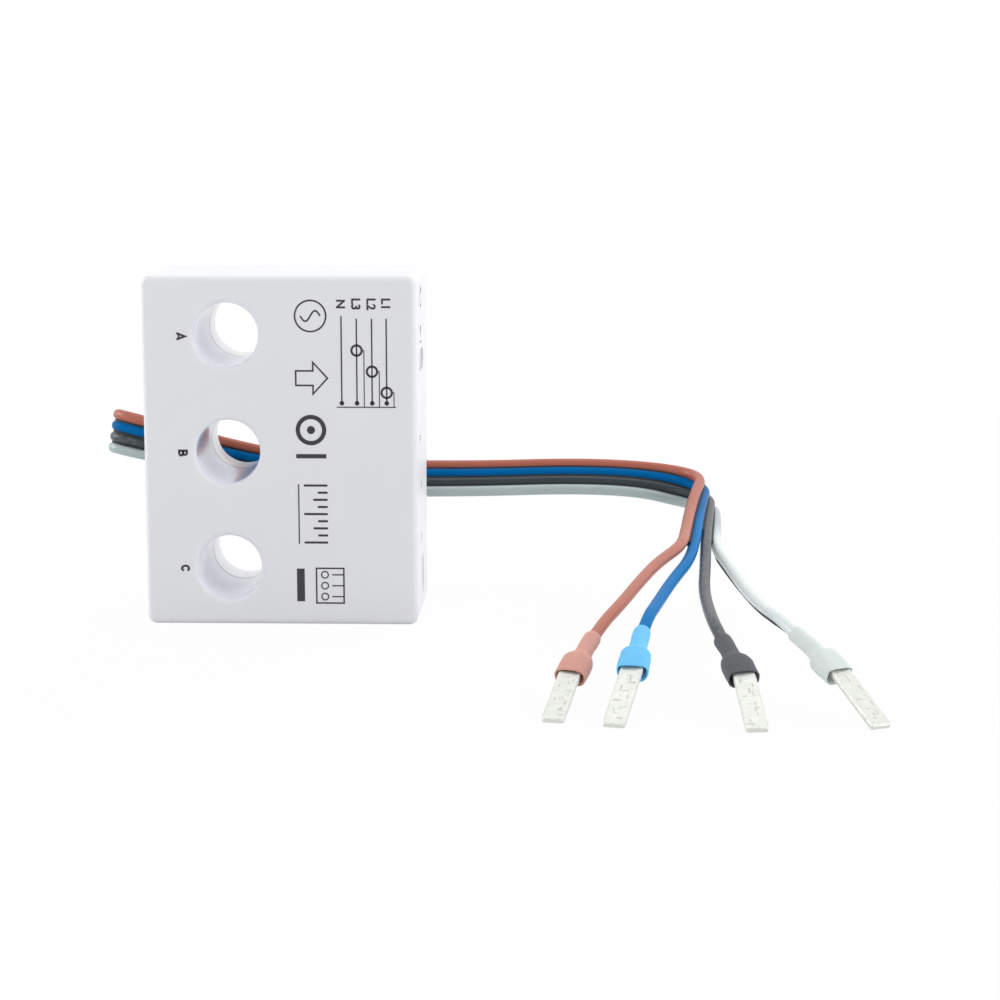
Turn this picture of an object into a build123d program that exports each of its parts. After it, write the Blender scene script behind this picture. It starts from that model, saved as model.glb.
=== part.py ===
from build123d import *
import math
import os

# Three-phase energy meter that sits against a three-pole breaker. Millimetres, +Z up.
# Three bores run through it from the near face (-Y) to the far face (+Y), one above another.
# The ribbon cable leaves at the left (-X). The button and the lights are on the right (+X).
# Origin: centre of the footprint, on the surface that the housing stands on.

# Housing
WIDTH = 41.6
DEPTH = 23.0
HEIGHT = 53.4
SIDE_WALL = 1.6
FACE_WALL = 1.6
COVER_THICK = 2.0
CORNER_R = 1.3
EDGE_R = 0.9
INNER_R = 0.5
SEAM_GAP = 0.1

# Bores for the phase cables, one to each pole of the breaker
POLES = 3
BORE_R = 4.85
BORE_INSET = 12.8
BORE_WALL = 0.9
JOINT_BACK = 4.9
JOINT_GAP = 0.15
MOUTH_R = 0.9
FAR_MOUTH_R = 0.5

# Clearances
FIT = 0.15
SEAT_GAP = 0.05
RUN_GAP = 0.12
PIPE_GAP = 0.05
CUT_OVER = 1.0

# Snap fit and posts
LIP_THICK = 0.9
LIP_DEPTH = 1.4
HOOK_WIDTH = 4.6
HOOK_REACH = 2.6
HOOK_THICK = 0.9
BARB = 0.45
BARB_LONG = 0.9
HOOK_INSETS = (7.3, 9.8)
POST_R = 1.6
POST_INSET = 2.1

# Circuit board
BOARD_THICK = 1.4
BOARD_MARGIN = 0.4
BOARD_SEAT = 0.3
HOLE_GAP = 0.25

# Current transformers, as wide as the room round the outer bores lets them be
COIL_LONG = 9.0
COIL_ROUND_SHARE = 0.32
CARRIER_THICK = 0.8
CARRIER_LEG = 1.3
LEG_ANGLES = (-50, 50, 130, 230)
BLOCK_WIDE = 2.6
BLOCK_TALL = 6.4
BLOCK_OVER = 0.45

# Reset button, a slide of PRESS_TRAVEL along -X
BUTTON_LONG = 8.6
BUTTON_TALL = 3.4
BUTTON_REACH = 5.5
BUTTON_DROP = 13.6
BUTTON_RECESS = 0.2
BUTTON_EDGE_R = 0.3
BUTTON_FLANGE = 0.7
BUTTON_LEDGE = 0.7
STEM_R = 1.0
STEM_LONG = 0.5
PRESS_TRAVEL = 0.4
SWITCH_LONG = 3.4
SWITCH_TALL = 6.0
SWITCH_HALF = 3.0
SWITCH_EDGE_R = 0.4
PLUNGER_R = 0.9
PLUNGER_OUT = 0.7

# Lights in the right side, their heights as shares of the housing's
LIGHT_R = 0.75
LIGHT_REACH = 6.4
LIGHT_RISE = (0.38, 0.2265)
PIPE_BACK = 4.2
PIPE_LEG = 1.5
PIPE_SLOPE = 1.2
LED_SIZE = (1.6, 0.6, 0.9)

# Shallow panel in the right side
PANEL_TALL = 6.6
PANEL_WIDE = 3.4
PANEL_DEEP = 0.35
PANEL_Y = 0.7
PANEL_Z = 5.9

# Parts on the board: sizes along X, Y and Z. An _AT is a place on the board,
# as shares of the room's width beside the coils and of the housing's height.
CAN_EDGE_R = 0.45
BULK_R = 4.0
BULK_X = 3.4
BULK_GAP = 0.95
BULK_DROP = 0.6
OUTPUT_CAN = (3.15, 8.0)
OUTPUT_AT = (0.23, 0.307)
CHOKE_DRUM = (2.7, 5.4)
CHOKE_WAIST_R = 1.9
CHOKE_RIM = 1.0
CHOKE_AT = (0.6, 0.307)
FORMER = (12.8, 8.6, 11.2)
FORMER_FOOT = 1.4
FORMER_CHEEK = 0.8
FORMER_SHARE = 0.47
FORMER_DROP = 10.5
WINDING_ROUND = 1.4
CORE_LEG = 1.6
CORE_TOP = 0.6
CORE_TALL = 8.0
VARISTOR_R = 3.5
VARISTOR_THICK = 3.4
VARISTOR_EDGE_R = 0.8
VARISTOR_LIFT = 0.6
VARISTOR_PIN = (0.35, 3.6)
VARISTOR_AT = (0.65, 0.135)
FUSE_ROD = (1.3, 7.5)
FUSE_AT = (0.095, 0.75)
RECTIFIER = (6.0, 2.2, 4.0)
RECTIFIER_AT = (0.27, 0.142)
METER_CHIP = (7.0, 1.1, 7.0)
METER_CHIP_AT = (0.45, 0.386)
SUPPLY_CHIP = (4.9, 1.5, 3.9)
SUPPLY_CHIP_AT = (0.65, 0.195)
BURDEN = (1.6, 0.6, 3.2)
BURDEN_SHARE = 0.08
RADIO_SPARE = 6.85
RADIO_X = 2.8
RADIO_DROP = 9.8
RADIO_THICK = 0.8
RADIO_TALL = 15.6
RADIO_CHIP = (5.0, 0.8, 5.0)
RADIO_CHIP_DROP = 2.0
RADIO_MARGIN = 0.8
SHIELD_THICK = 1.5
SHIELD_TALL = 10.0
SHIELD_DROP = 1.8
SHIELD_SKIN = 0.2
ANTENNA_THICK = 0.3
ANTENNA_TALL = 3.2
ANTENNA_RISE = 5.8
ANTENNA_STRIP = 0.8
ANTENNA_FINGERS = 5

# Ribbon cable of four bonded wires
WIRE_D = 1.7
WIRE_PITCH = 1.78
EXIT_BACK = 1.6
EXIT_DROP = 0.8
NOTCH_MARGIN = 0.7
BUSH_FLANGE = 1.3
BUSH_LIP = 0.8
TAIL_LONG = 4.7
BEND_SHARE = 0.45
TAIL_CORE_R = 0.5

# Sleeves and prongs on the four leads
SLEEVE_LONG = 10.0
SLEEVE_FLARE = 4.2
SLEEVE_STEP = 0.8
SLEEVE_R = 1.2
SLEEVE_MOUTH_R = 2.1
SLEEVE_WALL = 0.33
SLEEVE_GAP = 0.12
SLEEVE_TAPER = 0.15
BARREL_R = 1.3
BARREL_LONG = 3.6
BARREL_TUCK = 0.4
BLADE_WIDE = 3.0
BLADE_THICK = 0.8
BLADE_ROUND = 0.25

# Places that follow from the sizes
X_RIGHT = WIDTH / 2
X_LEFT = -WIDTH / 2
Y_NEAR = -DEPTH / 2
Y_FAR = DEPTH / 2
Y_FLOOR = Y_NEAR + FACE_WALL
Y_SEAM = Y_FAR - COVER_THICK
Y_JOINT = Y_SEAM - JOINT_BACK
Y_COLLAR = Y_JOINT + JOINT_GAP
BOARD_NEAR = Y_JOINT + BOARD_SEAT
BOARD_FAR = BOARD_NEAR + BOARD_THICK
MOUNTED = BOARD_NEAR - SEAT_GAP
BACKED = BOARD_FAR + SEAT_GAP
BORE_X = X_LEFT + BORE_INSET
BORE_PITCH = HEIGHT / POLES
BORE_Z = {"a": HEIGHT / 2 + BORE_PITCH, "b": HEIGHT / 2, "c": HEIGHT / 2 - BORE_PITCH}
TUBE_R = BORE_R + BORE_WALL
COIL_IN = TUBE_R + FIT
COIL_OUT = BORE_PITCH / 2 - SIDE_WALL - FIT
COIL_THICK = COIL_OUT - COIL_IN
COIL_ROUND = COIL_ROUND_SHARE * COIL_THICK
COIL_NEAR = Y_FLOOR + FIT
COIL_FAR = COIL_NEAR + COIL_LONG
CARRIER_NEAR = COIL_FAR + SEAT_GAP
CARRIER_FAR = CARRIER_NEAR + CARRIER_THICK
INNER_X = X_RIGHT - SIDE_WALL
INNER_Z = HEIGHT - SIDE_WALL
ROOM_LEFT = BORE_X + COIL_OUT
ROOM_WIDE = INNER_X - ROOM_LEFT
BUTTON_Y = BOARD_NEAR - BUTTON_REACH
BUTTON_Z = HEIGHT - BUTTON_DROP
LIGHT_Y = BOARD_NEAR - LIGHT_REACH
LIGHT_Z = [share * HEIGHT for share in LIGHT_RISE]
PIPE_X = X_RIGHT - PIPE_BACK
RADIO_WIDE = ROOM_WIDE - RADIO_SPARE
EXIT_Y = Y_SEAM - EXIT_BACK
EXIT_Z = HEIGHT / 2 - EXIT_DROP

WIRES = ("brown", "blue", "black", "grey")
MIDDLE_WIRE = (len(WIRES) - 1) / 2

# The ribbon's middle line, and the way across it from the grey wire to the brown one
RIBBON = (
    ((X_LEFT, EXIT_Y, EXIT_Z), (0, 0, 1)),
    ((X_LEFT - 2.2, EXIT_Y, EXIT_Z), (0.05, 0, 1)),
    ((X_LEFT - 5.7, EXIT_Y, EXIT_Z + 0.8), (0.20, 0.05, 0.98)),
    ((X_LEFT - 8.4, EXIT_Y + 1.8, EXIT_Z + 1.2), (0.15, 0.15, 0.98)),
    ((X_LEFT - 8.5, Y_FAR + 1.7, EXIT_Z + 0.7), (0.10, 0.25, 0.96)),
    ((X_LEFT - 6.1, Y_FAR + 3.8, EXIT_Z - 0.3), (0.15, 0.28, 0.95)),
    ((X_LEFT - 0.7, Y_FAR + 4.1, EXIT_Z - 1.7), (0.17, 0.33, 0.93)),
    ((X_LEFT + 9.8, Y_FAR + 3.9, EXIT_Z - 4.45), (0.15, 0.50, 0.85)),
    ((1.0, Y_FAR + 4.0, 19.3), (0.08, 0.62, 0.78)),
    ((15.0, Y_FAR + 4.4, 18.55), (0.03, 0.70, 0.71)),
    ((30.0, Y_FAR + 5.3, 18.5), (0, 0.735, 0.68)),
    ((44.0, Y_FAR + 6.4, 18.8), (0, 0.735, 0.68)),
    ((55.0, Y_FAR + 7.0, 18.3), (0.05, 0.60, 0.80)),
    ((62.3, Y_FAR + 7.5, 17.5), (0.05, 0.42, 0.90)),
    ((66.6, Y_FAR + 4.0, 16.6), (-0.25, 0.35, 0.90)),
    ((65.4, 7.5, 15.6), (-0.55, 0.20, 0.81)),
    ((64.5, -2.5, 14.4), (-0.72, 0.10, 0.68)),
    ((63.9, -10.5, 13.2), (-0.85, 0.05, 0.52)),
)

# Where the leads go once the web between the wires is split
LEADS = {
    "brown": ((60.2, -19.5, 13.3), (56.4, -29.5, 12.0), (52.6, -40.0, 10.4)),
    "blue": ((61.3, -20.5, 12.4), (58.9, -31.5, 11.0), (56.6, -42.5, 10.1)),
    "black": ((64.0, -21.5, 11.2), (63.4, -33.0, 10.0), (63.6, -44.0, 9.3)),
    "grey": ((67.9, -20.5, 10.7), (69.4, -32.0, 9.8), (71.0, -44.0, 9.7)),
}

# Each lead's end: the sleeve's mouth, the way the sleeve points, and the prong's tip
ENDS = {
    "brown": ((44.4, -62.0, 4.0), (-0.307, -0.892, -0.330), (42.3, -72.2, 0.4)),
    "blue": ((52.6, -64.9, 5.4), (-0.155, -0.930, -0.333), (50.1, -74.5, 0.4)),
    "black": ((67.2, -66.5, 5.0), (0.237, -0.924, -0.299), (68.4, -76.4, 0.4)),
    "grey": ((79.8, -65.3, 5.3), (0.533, -0.750, -0.385), (84.3, -74.1, 0.4)),
}
LEAD_IN = 12.6


def block(x0, x1, y0, y1, z0, z1):
    """A box between two corners."""
    middle = ((x0 + x1) / 2, (y0 + y1) / 2, (z0 + z1) / 2)
    return Pos(*middle) * Box(x1 - x0, y1 - y0, z1 - z0)


def rod_y(radius, y0, y1, x, z):
    """A round rod along Y."""
    return Pos(x, (y0 + y1) / 2, z) * Rot(90, 0, 0) * Cylinder(radius, y1 - y0)


def rod_x(radius, x0, x1, y, z):
    """A round rod along X."""
    return Pos((x0 + x1) / 2, y, z) * Rot(0, 90, 0) * Cylinder(radius, x1 - x0)


def rod_z(radius, z0, z1, x, y):
    """A round rod along Z."""
    return Pos(x, y, (z0 + z1) / 2) * Cylinder(radius, z1 - z0)


def ring_y(outer, inner, y0, y1, x, z):
    """A round tube along Y."""
    return rod_y(outer, y0, y1, x, z) - rod_y(inner, y0 - CUT_OVER, y1 + CUT_OVER, x, z)


def stadium_x(long_y, tall_z, x0, x1, y, z):
    """A bar along X whose section is a slot with round ends, longer along Y or Z."""
    if long_y >= tall_z:
        outline = SlotOverall(long_y, tall_z)
    else:
        outline = SlotOverall(tall_z, long_y, rotation=90)
    face = Plane((x0, y, z), x_dir=(0, 1, 0), z_dir=(1, 0, 0)) * outline
    return extrude(face, amount=x1 - x0)


def rounded_slab(y0, y1, grow, corner):
    """A slab across Y with round corners, its outline moved out by grow from the housing's."""
    slab = block(X_LEFT - grow, X_RIGHT + grow, y0, y1, -grow, HEIGHT + grow)
    return fillet(slab.edges().filter_by(Axis.Y), corner)


def rim_edges(solid, y):
    """The edges of a solid that lie in the plane at y."""
    return ShapeList([e for e in solid.edges() if abs(e.bounding_box().min.Y - y) < 0.001
                      and abs(e.bounding_box().max.Y - y) < 0.001])


def bore_rims(solid, y):
    """The bores' circles in the plane at y."""
    return ShapeList([e for e in rim_edges(solid, y).filter_by(GeomType.CIRCLE)
                      if abs(e.radius - BORE_R) < 0.001])


def post_places():
    """Where the four posts hold the board, near the corners."""
    x = INNER_X - POST_INSET
    low = SIDE_WALL + POST_INSET
    return [(side * x, z) for side in (-1, 1) for z in (low, HEIGHT - low)]


def hook_places():
    """Where the snap hooks are: along X at the top and the bottom."""
    left, right = HOOK_INSETS
    return [(x, end) for x in (X_LEFT + left, X_RIGHT - right) for end in (0, 1)]


def notch_half():
    """Half the height of the ribbon's exit."""
    return MIDDLE_WIRE * WIRE_PITCH + WIRE_D / 2 + NOTCH_MARGIN


def exit_near():
    """The near side of the ribbon's exit."""
    return EXIT_Y - WIRE_D / 2 - NOTCH_MARGIN / 2


def front_shell():
    """The near face, the four sides and the near part of each bore, in one moulding."""
    body = rounded_slab(Y_NEAR, Y_SEAM, 0, CORNER_R)
    body = fillet(rim_edges(body, Y_NEAR), EDGE_R)
    body -= rounded_slab(Y_FLOOR, Y_SEAM + CUT_OVER, -SIDE_WALL, INNER_R)
    for x, z in post_places():
        body += rod_y(POST_R, Y_FLOOR - FACE_WALL / 2, BOARD_NEAR, x, z)
    for z in BORE_Z.values():
        body += rod_y(TUBE_R, Y_FLOOR - FACE_WALL / 2, Y_JOINT, BORE_X, z)
    for z in BORE_Z.values():
        body -= rod_y(BORE_R, Y_NEAR - CUT_OVER, Y_SEAM, BORE_X, z)
    body = fillet(bore_rims(body, Y_NEAR), MOUTH_R)
    inside, outside = INNER_X - CUT_OVER, X_RIGHT + CUT_OVER
    body -= stadium_x(BUTTON_LONG, BUTTON_TALL, inside, outside, BUTTON_Y, BUTTON_Z)
    for z in LIGHT_Z:
        body -= rod_x(LIGHT_R, inside, outside, LIGHT_Y, z)
    body -= stadium_x(PANEL_WIDE, PANEL_TALL, X_RIGHT - PANEL_DEEP, outside, PANEL_Y, PANEL_Z)
    half = notch_half()
    body -= block(X_LEFT - CUT_OVER, X_LEFT + SIDE_WALL + CUT_OVER, exit_near(),
                  Y_SEAM + CUT_OVER, EXIT_Z - half, EXIT_Z + half)
    for x, end in hook_places():
        body -= hook_pocket(x, end)
    return body


def inner_wall(end):
    """The height of the inner wall at the bottom or the top, and the way out from it."""
    if end:
        return INNER_Z, 1
    return SIDE_WALL, -1


def hook_pocket(x, end):
    """The pocket that a snap hook's barb drops into."""
    wall, out = inner_wall(end)
    z0, z1 = sorted((wall - out * FIT, wall + out * (BARB + FIT)))
    half = HOOK_WIDTH / 2 + FIT
    y0 = Y_SEAM - HOOK_REACH - FIT
    return block(x - half, x + half, y0, y0 + BARB_LONG + 2 * FIT, z0, z1)


def snap_hook(x, end):
    """A tongue from the cover with a barb at its end."""
    wall, out = inner_wall(end)
    face = wall - out * FIT
    z0, z1 = sorted((face, face - out * HOOK_THICK))
    half = HOOK_WIDTH / 2
    y0 = Y_SEAM - HOOK_REACH
    tongue = block(x - half, x + half, y0, Y_SEAM + COVER_THICK / 2, z0, z1)
    corners = [(y0, face), (y0 + BARB_LONG, face), (y0 + BARB_LONG, face + out * BARB)]
    side = Plane((x - half, 0, 0), x_dir=(0, 1, 0), z_dir=(1, 0, 0)) * make_face(
        Polyline(*corners, close=True))
    return tongue + extrude(side, amount=HOOK_WIDTH)


def rear_cover():
    """The far face, with the collars that carry the bores on, the lip and the snap hooks."""
    plate = rounded_slab(Y_SEAM + SEAM_GAP, Y_FAR, 0, CORNER_R)
    plate = fillet(rim_edges(plate, Y_FAR), EDGE_R)
    lip = rounded_slab(Y_SEAM - LIP_DEPTH, Y_SEAM + COVER_THICK / 2, -SIDE_WALL - FIT, INNER_R)
    lip -= rounded_slab(Y_SEAM - LIP_DEPTH - CUT_OVER, Y_SEAM + COVER_THICK,
                        -SIDE_WALL - FIT - LIP_THICK, INNER_R)
    half = notch_half() + BUSH_LIP + FIT
    lip -= block(X_LEFT, X_LEFT + 2 * SIDE_WALL + LIP_THICK, Y_SEAM - 2 * LIP_DEPTH,
                 Y_SEAM + SEAM_GAP, EXIT_Z - half, EXIT_Z + half)
    body = plate + lip
    for x, end in hook_places():
        body += snap_hook(x, end)
    for x, z in post_places():
        body += rod_y(POST_R, BOARD_FAR + SEAT_GAP, Y_SEAM + COVER_THICK / 2, x, z)
    for z in BORE_Z.values():
        body += rod_y(TUBE_R, Y_COLLAR, Y_SEAM + COVER_THICK / 2, BORE_X, z)
    for z in BORE_Z.values():
        body -= rod_y(BORE_R, Y_COLLAR - CUT_OVER, Y_FAR + CUT_OVER, BORE_X, z)
    return fillet(bore_rims(body, Y_FAR), FAR_MOUTH_R)


def wire_heights():
    """The four wires' heights at the exit, brown at the top."""
    return [EXIT_Z + (MIDDLE_WIRE - i) * WIRE_PITCH for i in range(len(WIRES))]


def cable_bush():
    """The bush in the exit notch that grips the ribbon."""
    half = notch_half()
    near = exit_near()
    neck = block(X_LEFT, X_LEFT + SIDE_WALL + FIT, near + FIT, Y_SEAM,
                 EXIT_Z - half + FIT, EXIT_Z + half - FIT)
    inner = X_LEFT + SIDE_WALL + FIT
    flange = block(inner, inner + BUSH_FLANGE, near, Y_SEAM,
                   EXIT_Z - half - BUSH_LIP, EXIT_Z + half + BUSH_LIP)
    bush = neck + flange
    for z in wire_heights():
        bush -= rod_x(WIRE_D / 2 + SEAT_GAP, X_LEFT - CUT_OVER, inner + BUSH_FLANGE + CUT_OVER,
                      EXIT_Y, z)
    return bush


def wire_tails():
    """The wires' inner ends, from the bush's outer face to the board."""
    tails = []
    x_end = X_LEFT + TAIL_LONG
    for z in wire_heights():
        tail = rod_x(WIRE_D / 2, X_LEFT, x_end, EXIT_Y, z)
        core_x = x_end - TAIL_CORE_R
        tail += rod_y(TAIL_CORE_R, BOARD_FAR + SEAT_GAP, EXIT_Y, core_x, z)
        tails.append(tail)
    return Compound(children=tails)


def main_board():
    """The circuit board, which the bore collars pass through."""
    board = rounded_slab(BOARD_NEAR, BOARD_FAR, -SIDE_WALL - BOARD_MARGIN, INNER_R)
    for z in BORE_Z.values():
        board -= rod_y(TUBE_R + HOLE_GAP, BOARD_NEAR - CUT_OVER, BOARD_FAR + CUT_OVER,
                       BORE_X, z)
    return board


def ct_coil(z):
    """A wound ring round a bore tube."""
    coil = ring_y(COIL_OUT, COIL_IN, COIL_NEAR, COIL_FAR, BORE_X, z)
    return fillet(coil.edges().filter_by(GeomType.CIRCLE), COIL_ROUND)


def ct_carrier(z):
    """The plastic ring behind a coil, its legs to the board and its terminal block."""
    carrier = ring_y(COIL_OUT, COIL_IN, CARRIER_NEAR, CARRIER_FAR, BORE_X, z)
    middle = (COIL_IN + COIL_OUT) / 2
    for angle in LEG_ANGLES:
        x = BORE_X + middle * math.cos(math.radians(angle))
        leg_z = z + middle * math.sin(math.radians(angle))
        carrier += rod_y(COIL_THICK / 2, CARRIER_NEAR, MOUNTED, x, leg_z)
    edge = BORE_X - COIL_OUT - FIT
    terminal = block(edge - BLOCK_WIDE, edge, CARRIER_NEAR - BLOCK_OVER, MOUNTED,
                     z - BLOCK_TALL / 2, z + BLOCK_TALL / 2)
    web = block(edge - FIT, BORE_X - COIL_IN - COIL_THICK / 3, CARRIER_NEAR, CARRIER_FAR,
                z - CARRIER_LEG, z + CARRIER_LEG)
    return carrier + terminal + web


def reset_button():
    """The slotted cap, the ledge that keeps it in, and its stem."""
    outer = X_RIGHT - BUTTON_RECESS
    ledge_out = INNER_X - RUN_GAP
    ledge_in = ledge_out - BUTTON_FLANGE
    cap = stadium_x(BUTTON_LONG - 2 * RUN_GAP, BUTTON_TALL - 2 * RUN_GAP, ledge_in, outer,
                    BUTTON_Y, BUTTON_Z)
    cap = fillet(cap.faces().sort_by(Axis.X)[-1].edges(), BUTTON_EDGE_R)
    ledge = stadium_x(BUTTON_LONG + 2 * BUTTON_LEDGE, BUTTON_TALL + 2 * BUTTON_LEDGE,
                      ledge_in, ledge_out, BUTTON_Y, BUTTON_Z)
    stem = rod_x(STEM_R, ledge_in - STEM_LONG, ledge_in + BUTTON_FLANGE / 2, BUTTON_Y, BUTTON_Z)
    return cap + ledge + stem


def plunger_tip():
    """Where the button's stem meets the switch's plunger."""
    return INNER_X - RUN_GAP - BUTTON_FLANGE - STEM_LONG


def switch_face():
    """The switch's outer face, which the plunger stands out of."""
    return plunger_tip() - PLUNGER_OUT


def reset_switch():
    """The upright switch on the board, with the plunger's well."""
    outer = switch_face()
    half = SWITCH_TALL / 2
    case = block(outer - SWITCH_LONG, outer, BUTTON_Y - SWITCH_HALF, MOUNTED,
                 BUTTON_Z - half, BUTTON_Z + half)
    case = fillet(case.edges().filter_by(Axis.X), SWITCH_EDGE_R)
    well = rod_x(PLUNGER_R + RUN_GAP, outer - 2 * PLUNGER_OUT - PRESS_TRAVEL, outer + CUT_OVER,
                 BUTTON_Y, BUTTON_Z)
    return case - well


def switch_plunger():
    """The plunger, which the button pushes in."""
    return rod_x(PLUNGER_R, switch_face() - PLUNGER_OUT, plunger_tip(), BUTTON_Y, BUTTON_Z)


def light_pipe(z):
    """A clear pipe from a light on the board to the window in the side."""
    top = BOARD_NEAR - LED_SIZE[1] - 2 * SEAT_GAP
    stem = rod_x(LIGHT_R - PIPE_GAP, PIPE_X, X_RIGHT - PIPE_GAP, LIGHT_Y, z)
    leg = block(PIPE_X - PIPE_LEG, PIPE_X, LIGHT_Y - LIGHT_R, top, z - PIPE_LEG / 2,
                z + PIPE_LEG / 2)
    elbow = leg.edges().filter_by(Axis.Z).sort_by(lambda e: e.center().X + e.center().Y)[0]
    return stem + chamfer(elbow, PIPE_SLOPE)


def status_led(z):
    """A small light on the board."""
    wide, tall, long = LED_SIZE
    x = PIPE_X - PIPE_LEG / 2
    return block(x - wide / 2, x + wide / 2, MOUNTED - tall, MOUNTED, z - long / 2, z + long / 2)


def rim_rounded(solid, radius):
    """A solid with its round edges softened."""
    return fillet(solid.edges().filter_by(GeomType.CIRCLE), radius)


def on_board(place):
    """The X and Z of a place on the board."""
    return ROOM_LEFT + place[0] * ROOM_WIDE, place[1] * HEIGHT


def near_chip(size, x, z):
    """A flat part on the near side of the board."""
    wide, thick, tall = size
    return block(x - wide / 2, x + wide / 2, MOUNTED - thick, MOUNTED, z - tall / 2, z + tall / 2)


def far_chip(size, x, z, lift=0.0):
    """A flat part on the far side of the board."""
    wide, thick, tall = size
    y = BACKED + lift
    return block(x - wide / 2, x + wide / 2, y, y + thick, z - tall / 2, z + tall / 2)


def bulk_capacitor():
    """The large capacitor, lying along X from the fuse to the post in the upper corner."""
    x0 = ROOM_LEFT + BULK_X
    x1 = INNER_X - POST_INSET - POST_R - BULK_GAP
    return rim_rounded(rod_x(BULK_R, x0, x1, MOUNTED - BULK_R, INNER_Z - BULK_DROP - BULK_R),
                       CAN_EDGE_R)


def output_capacitor():
    """The small capacitor, which stands on the board."""
    radius, tall = OUTPUT_CAN
    x, z = on_board(OUTPUT_AT)
    return rim_rounded(rod_y(radius, MOUNTED - tall, MOUNTED, x, z), CAN_EDGE_R)


def choke():
    """A drum choke: two flanges and the winding between them."""
    radius, tall = CHOKE_DRUM
    x, z = on_board(CHOKE_AT)
    top = MOUNTED - tall
    spool = rod_y(CHOKE_WAIST_R, top, MOUNTED, x, z)
    spool += rod_y(radius, MOUNTED - CHOKE_RIM, MOUNTED, x, z)
    return spool + rod_y(radius, top, top + CHOKE_RIM, x, z)


def former_place():
    """The X and Z of the transformer's middle, below the button."""
    return ROOM_LEFT + FORMER_SHARE * ROOM_WIDE, BUTTON_Z - FORMER_DROP


def transformer_bobbin():
    """The coil former: a foot on the board, two cheeks and the winding between them."""
    wide, tall, long = FORMER
    x, z = former_place()
    half = wide / 2 - CORE_LEG - SEAT_GAP
    former = block(x - wide / 2, x + wide / 2, MOUNTED - FORMER_FOOT, MOUNTED,
                   z - long / 2, z + long / 2)
    for z0 in (z - long / 2, z + long / 2 - FORMER_CHEEK):
        former += block(x - half, x + half, MOUNTED - tall, MOUNTED, z0, z0 + FORMER_CHEEK)
    winding = block(x - half, x + half, MOUNTED - tall + CORE_TOP, MOUNTED - FORMER_FOOT / 2,
                    z - long / 2 + FORMER_CHEEK / 2, z + long / 2 - FORMER_CHEEK / 2)
    return former + fillet(winding.edges().filter_by(Axis.Z), WINDING_ROUND)


def transformer_core():
    """The ferrite frame over the former's winding, between its cheeks."""
    wide, tall, long = FORMER
    x, z = former_place()
    top = MOUNTED - tall + CORE_TOP - SEAT_GAP
    half = wide / 2 - CORE_LEG
    frame = block(x - wide / 2, x + wide / 2, top - CORE_TOP, MOUNTED - FORMER_FOOT - SEAT_GAP,
                  z - CORE_TALL / 2, z + CORE_TALL / 2)
    return frame - block(x - half, x + half, top, MOUNTED, z - CORE_TALL, z + CORE_TALL)


def varistor():
    """A disc that stands on the board on two pins."""
    x, z = on_board(VARISTOR_AT)
    middle = MOUNTED - VARISTOR_LIFT - VARISTOR_R
    disc = rod_z(VARISTOR_R, z - VARISTOR_THICK / 2, z + VARISTOR_THICK / 2, x, middle)
    disc = rim_rounded(disc, VARISTOR_EDGE_R)
    radius, pitch = VARISTOR_PIN
    for pin_x in (x - pitch / 2, x + pitch / 2):
        disc += rod_y(radius, middle + VARISTOR_R / 2, MOUNTED, pin_x, z)
    return disc


def fuse_resistor():
    """A round resistor that lies along Z on the board."""
    radius, long = FUSE_ROD
    x, z = on_board(FUSE_AT)
    rod = rod_z(radius, z - long / 2, z + long / 2, x, MOUNTED - radius)
    return rim_rounded(rod, CAN_EDGE_R)


def burden_resistors():
    """One small resistor beside each bore, on the board's far side."""
    x = ROOM_LEFT + BURDEN_SHARE * ROOM_WIDE
    return Compound(children=[far_chip(BURDEN, x, z) for z in BORE_Z.values()])


def radio_place():
    """The X and Z of the radio's middle."""
    return ROOM_LEFT + RADIO_X + RADIO_WIDE / 2, INNER_Z - RADIO_DROP


def radio_module():
    """The radio's own small board with its chip."""
    x, z = radio_place()
    board = far_chip((RADIO_WIDE, RADIO_THICK, RADIO_TALL), x, z)
    return board + far_chip(RADIO_CHIP, x, z - RADIO_CHIP_DROP, RADIO_THICK)


def radio_shield():
    """The pressed can over the radio's chip."""
    x, z = radio_place()
    wide = RADIO_WIDE - 2 * RADIO_MARGIN
    skin = 2 * SHIELD_SKIN
    lift = RADIO_THICK + SEAT_GAP
    can = far_chip((wide, SHIELD_THICK, SHIELD_TALL), x, z - SHIELD_DROP, lift)
    hollow = (wide - skin, SHIELD_THICK, SHIELD_TALL - skin)
    return can - far_chip(hollow, x, z - SHIELD_DROP, lift - SHIELD_SKIN)


def antenna():
    """A comb-shaped metal strip on the free end of the radio's board."""
    x, z = radio_place()
    wide = RADIO_WIDE - 2 * RADIO_MARGIN
    lift = RADIO_THICK + SEAT_GAP
    width = ANTENNA_STRIP
    top = z + ANTENNA_RISE + ANTENNA_TALL / 2
    strip = far_chip((wide, ANTENNA_THICK, width), x, top - width / 2, lift)
    step = (wide - width) / (ANTENNA_FINGERS - 1)
    for i in range(ANTENNA_FINGERS):
        finger_x = x - wide / 2 + width / 2 + i * step
        finger = (width, ANTENNA_THICK, ANTENNA_TALL)
        strip += far_chip(finger, finger_x, top - ANTENNA_TALL / 2, lift)
    return strip


def wire_points(name):
    """The route of one wire: beside the ribbon's middle line, then along its own lead."""
    side = (MIDDLE_WIRE - WIRES.index(name)) * WIRE_PITCH
    points = []
    for middle, across in RIBBON:
        points.append(Vector(*middle) + Vector(*across).normalized() * side)
    points += [Vector(*p) for p in LEADS[name]]
    mouth, axis, tip = ENDS[name]
    axis = Vector(*axis).normalized()
    points.append(Vector(*mouth) - axis * LEAD_IN)
    points.append(Vector(*mouth) - axis * (BARREL_LONG + BARREL_TUCK))
    return points


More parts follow.
